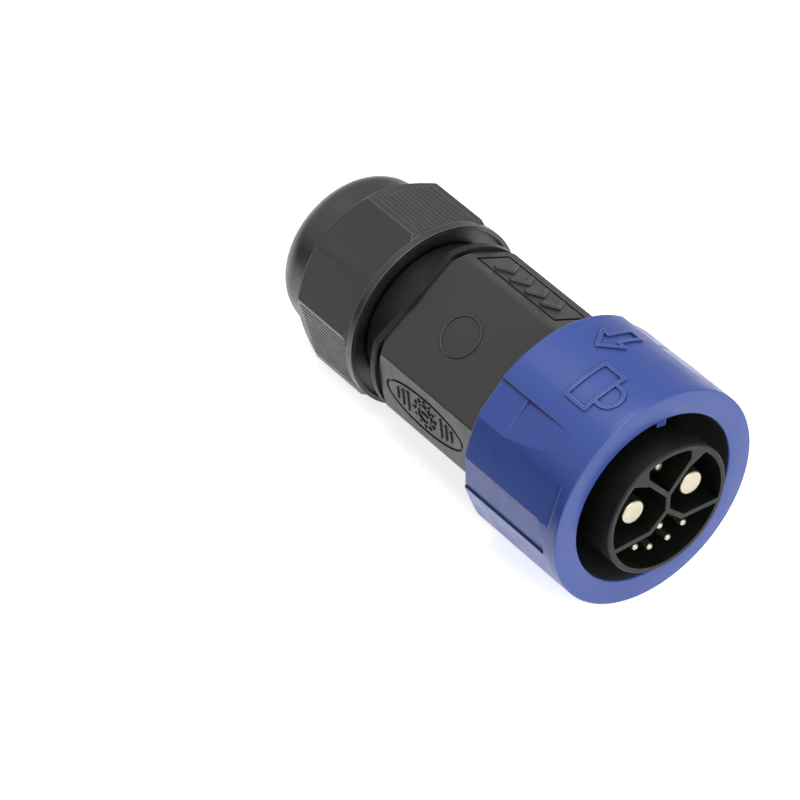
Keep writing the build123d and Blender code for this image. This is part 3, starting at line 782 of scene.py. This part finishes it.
outline = np.concatenate(
    [np.array([v.co for v in node.data.vertices])[:, [0, 2]] for node in frame["nodes"].values()]
)
slopes = np.linspace(-STEEPEST, STEEPEST, SLOPE_COUNT)
under = [float((outline[:, 1] - s * (outline[:, 0] - WEIGHT_PLACE)).min()) for s in slopes]
ground_height = max(under)
ground_slope = float(slopes[under.index(ground_height)])


def ground_point(x, y):
    """Point of the ground below or above a place."""
    return (x, y, ground_height + ground_slope * (x - WEIGHT_PLACE))


half = GROUND_SIZE / 2
ground_mesh = bpy.data.meshes.new("ground")
corners = [ground_point(x, y) for x, y in ((-half, -half), (half, -half), (half, half), (-half, half))]
ground_mesh.from_pydata(corners, [], [(0, 1, 2, 3)])
ground = bpy.data.objects.new("ground", ground_mesh)
bpy.context.scene.collection.objects.link(ground)

paper = bpy.data.materials.new("matt white paper")
paper.use_nodes = True
tree = paper.node_tree
tree.nodes.clear()
rays = add(tree, "ShaderNodeLightPath")
camera_ray = rays.outputs["Is Camera Ray"]
place = add(tree, "ShaderNodeTexCoord").outputs["Object"]
across = add(tree, "ShaderNodeSeparateXYZ", {0: place}).outputs[1]
left = smooth_step(tree, across, LEFT_START, LEFT_END)
unseen = add(tree, "ShaderNodeMapRange", {"Value": camera_ray, 3: left, 4: 0.0})
tone = blend(tree, unseen.outputs[0], colour(PAPER_TONE), colour(LEFT_TONE))
mirrored = add(
    tree,
    "ShaderNodeMath",
    {0: rays.outputs["Is Glossy Ray"], 1: rays.outputs["Is Transmission Ray"]},
    operation="MAXIMUM",
)
mirror_lift = add(tree, "ShaderNodeMapRange", {"Value": left, 3: MIRROR_LIFT, 4: 0.0})
mirror_lift = product(tree, mirrored.outputs[0], mirror_lift.outputs[0])
lift = add(tree, "ShaderNodeMapRange", {"Value": camera_ray, 3: mirror_lift, 4: CAMERA_LIFT})
matt = add(tree, "ShaderNodeBsdfDiffuse", {"Color": tone})
glow = add(tree, "ShaderNodeEmission", {"Color": colour("FFFFFF"), "Strength": lift.outputs[0]})
both = add(tree, "ShaderNodeAddShader", {0: matt.outputs[0], 1: glow.outputs[0]})
finish_material(tree, both)
ground_mesh.materials.append(paper)
print("ground slope in degrees:", round(atan(ground_slope) * 180 / pi, 2))

# %% [markdown]
# ## Surroundings and lamps
#
# The photograph looks as if it was taken in a white light tent. A white world gives the level, shadow-free
# part of that light, and the camera sees it as plain white. Rays that come from a reflection see the tent's
# wall, which is as light as paper on the left and a little greyer on the right. That grey matters: the
# plug's upper faces look towards it at a low angle, where even satin nylon is a fair mirror.
# On top of it come two soft lamps. One stands in front of the plug and lights the ring's front face, the
# other hangs overhead, a little to the left, where it reaches the shell's wide face too.

# %% World
AMBIENT = 0.38
TENT_LEFT, TENT_RIGHT = 1.0, 0.65  # how light the tent's two sides look in a reflection
TENT_START, TENT_END = -0.4, 0.6  # sideways part of a direction, where the tent goes from one to the other
world = bpy.data.worlds.new("light tent")
bpy.context.scene.world = world
world.use_nodes = True
tree = world.node_tree
tree.nodes.clear()
direction = add(tree, "ShaderNodeTexCoord").outputs["Generated"]
sideways = add(tree, "ShaderNodeSeparateXYZ", {0: direction}).outputs[1]
tent = smooth_step(tree, sideways, TENT_START, TENT_END, TENT_LEFT, TENT_RIGHT)
rays = add(tree, "ShaderNodeLightPath")
level = add(tree, "ShaderNodeMapRange", {"Value": rays.outputs["Is Glossy Ray"], 3: AMBIENT, 4: tent})
seen = add(
    tree,
    "ShaderNodeMath",
    {0: rays.outputs["Is Camera Ray"], 1: rays.outputs["Is Transmission Ray"]},
    operation="MAXIMUM",
)
level = add(tree, "ShaderNodeMapRange", {"Value": seen.outputs[0], 3: level.outputs[0], 4: 1.0})
sky = add(tree, "ShaderNodeBackground", {"Color": colour("FFFFFF"), "Strength": level.outputs[0]})
add(tree, "ShaderNodeOutputWorld", {"Surface": sky.outputs[0]})
print("ambient light:", AMBIENT)

# %% Lamps
LIGHT_CENTRE = Vector((-0.045, 0.0, 0.0))
# Direction from the plug, distance and size in metres, and level
LAMPS = {
    "front lamp": ((0.87, -0.15, 0.40), 0.9, 0.5, 0.46),
    "top lamp": ((-0.15, -0.25, 0.95), 1.0, 0.6, 0.48),
}


def soft_lamp(name, direction, distance, size, level):
    """Square lamp aimed at the plug; level is the share of full white that it gives a matt surface."""
    lamp = bpy.data.lights.new(name, "AREA")
    lamp.size = size
    lamp.energy = level * pi * pi * distance**2
    towards = Vector(direction).normalized()
    piece = bpy.data.objects.new(name, lamp)
    piece.location = LIGHT_CENTRE + towards * distance
    piece.rotation_euler = towards.to_track_quat("Z", "Y").to_euler()
    bpy.context.scene.collection.objects.link(piece)


for lamp_name, settings in LAMPS.items():
    soft_lamp(lamp_name, *settings)
print("lamps:", list(LAMPS))

# %% [markdown]
# ## Camera
#
# The camera stands where the photograph's stood. Its place and the two directions across the picture were
# found by fitting the circles that lie on the plug's axis. It is a long lens from nearly a metre away,
# so the plug hardly tapers.

# %% Camera
CAMERA_PLACE = Vector((495.9, -578.3, 457.3)) * MM
PICTURE_RIGHT = Vector((0.6056, 0.7686, 0.2065))
PICTURE_UP = Vector((-0.5179, 0.1835, 0.8355))
LENS, SENSOR = 202.5, 36.0  # mm, focal length and width of the picture

right = PICTURE_RIGHT.normalized()
backward = right.cross(PICTURE_UP).normalized()
up = backward.cross(right)
camera_data = bpy.data.cameras.new("camera")
camera_data.lens = LENS
camera_data.sensor_width = SENSOR
camera = bpy.data.objects.new("camera", camera_data)
turn = Matrix((right, up, backward)).transposed().to_4x4()
camera.matrix_world = Matrix.Translation(CAMERA_PLACE) @ turn
bpy.context.scene.collection.objects.link(camera)
bpy.context.scene.camera = camera
bpy.context.scene.view_settings.view_transform = "Standard"
print("camera distance in mm:", round(hypot(*CAMERA_PLACE) / MM))
